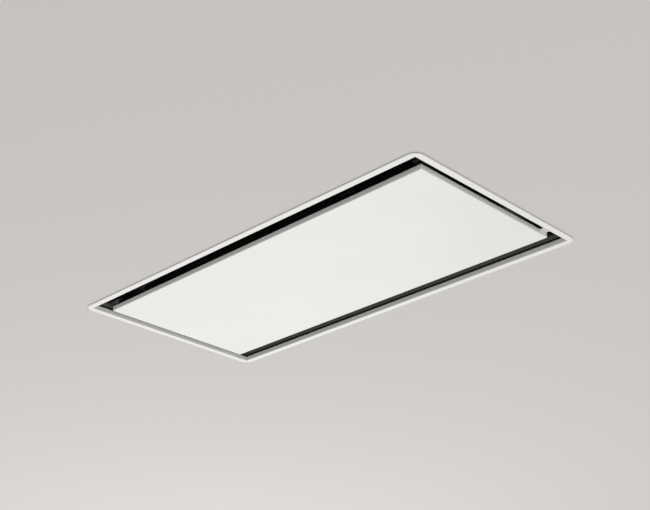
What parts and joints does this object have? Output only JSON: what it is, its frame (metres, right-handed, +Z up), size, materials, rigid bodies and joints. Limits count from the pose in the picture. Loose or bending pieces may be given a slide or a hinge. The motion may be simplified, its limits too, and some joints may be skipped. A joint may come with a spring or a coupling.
{
  "type": "ceiling range hood",
  "caption": "Flush ceiling range hood: hinged white suction panel in a slim rim, grease filters and a double-inlet fan above it, with a side duct collar, damper and control box.",
  "frame": {"origin": "centre of the hood on the underside of the ceiling, in the plane of the rim's back face", "axes": "+X along the long side, +Y towards the hinged side of the suction panel, +Z up into the ceiling"},
  "size_m": [1, 0.5, 0.302],
  "materials": {
    "white_powder_coat": "satin",
    "black_powder_coat": "matt",
    "grey_powder_coat": "matt",
    "wall_coat": "matt, black from 27 mm upwards",
    "galvanised_steel": "spangled",
    "zinc_plated_steel": "bright",
    "filter_aluminium": "satin",
    "cast_aluminium": "cast",
    "motor_laminations": "lacquered",
    "ferrite": "matt",
    "black_plastic": "moulded",
    "grey_plastic": "moulded",
    "white_plastic": "moulded",
    "circuit_laminate": "satin",
    "lead_pvc": "soft",
    "seal_rubber": "matt"
  },
  "bodies": {
    "hood": {"trim_frame": "white_powder_coat", "frame_seal": "seal_rubber", "chamber_wall": "wall_coat", "filter_deck": "black_powder_coat", "rear_ledge": "black_powder_coat", "latch_keepers": "black_powder_coat", "hinge_brackets": "black_powder_coat", "catch_brackets": "grey_powder_coat", "casing_wrap": "galvanised_steel", "casing_end_left": "galvanised_steel", "casing_end_right": "galvanised_steel", "fan_box": "galvanised_steel", "fan_box_lid": "galvanised_steel", "fan_rail_left": "galvanised_steel", "fan_rail_right": "galvanised_steel", "outlet_collar": "galvanised_steel", "hanging_brackets": "galvanised_steel", "motor_spider": "galvanised_steel", "hinge_pins": "zinc_plated_steel", "damper_pin": "zinc_plated_steel", "latch_spring_left": "zinc_plated_steel", "latch_spring_right": "zinc_plated_steel", "catch_housings": "black_plastic", "catch_magnets": "ferrite", "filter_frame_left": "black_powder_coat", "filter_frame_right": "black_powder_coat", "filter_core_left": "filter_aluminium", "filter_core_right": "filter_aluminium", "latch_housing_left": "black_plastic", "latch_housing_right": "black_plastic", "scroll_front": "black_plastic", "scroll_rear": "black_plastic", "outlet_adaptor": "black_plastic", "motor_front_shield": "cast_aluminium", "motor_rear_shield": "cast_aluminium", "motor_stator": "motor_laminations", "motor_mounts": "seal_rubber", "fan_buffers": "seal_rubber", "lead_grommets": "seal_rubber", "motor_lead": "lead_pvc", "control_base": "grey_plastic", "control_lid": "grey_plastic", "circuit_board": "circuit_laminate", "board_relays": "black_plastic", "motor_capacitor": "white_plastic", "terminal_block": "white_plastic", "cable_gland": "black_plastic"},
    "panel": {"suction_panel": "white_powder_coat", "stiffener_front": "galvanised_steel", "stiffener_rear": "galvanised_steel", "hinge_arms": "white_powder_coat", "strike_plates": "zinc_plated_steel"},
    "fan_wheel": {"impeller": "grey_plastic", "fan_shaft": "zinc_plated_steel"},
    "damper_rear": {"damper_flap_rear": "grey_plastic"},
    "damper_front": {"damper_flap_front": "grey_plastic"},
    "latch_left": {"latch_slider_left": "black_plastic"},
    "latch_right": {"latch_slider_right": "black_plastic"}
  },
  "joints": [
    {"name": "panel_hinge", "type": "hinge", "parent": "hood", "child": "panel", "pos_m": [0, 0.183, 0.016], "axis": [1, 0, 0], "range_deg": [0, 90]},
    {"name": "fan_spin", "type": "hinge", "parent": "hood", "child": "fan_wheel", "pos_m": [-0.02, 0, 0.198], "axis": [0, 1, 0], "continuous": true},
    {"name": "damper_rear_swing", "type": "hinge", "parent": "hood", "child": "damper_rear", "pos_m": [0.206, 0, 0.2045], "axis": [0, 0, -1], "range_deg": [0, 80], "stiffness_Nm_per_rad": 0.003},
    {"name": "damper_front_swing", "type": "hinge", "parent": "hood", "child": "damper_front", "pos_m": [0.206, 0, 0.2045], "axis": [0, 0, 1], "range_deg": [0, 80], "stiffness_Nm_per_rad": 0.003},
    {"name": "latch_left_slide", "type": "slide", "parent": "hood", "child": "latch_left", "axis": [0, 1, 0], "range_m": [0, 0.006], "stiffness_N_per_m": 400, "springref_m": -0.003, "deforming": ["latch_spring_left"]},
    {"name": "latch_right_slide", "type": "slide", "parent": "hood", "child": "latch_right", "axis": [0, 1, 0], "range_m": [0, 0.006], "stiffness_N_per_m": 400, "springref_m": -0.003, "deforming": ["latch_spring_right"]}
  ]
}
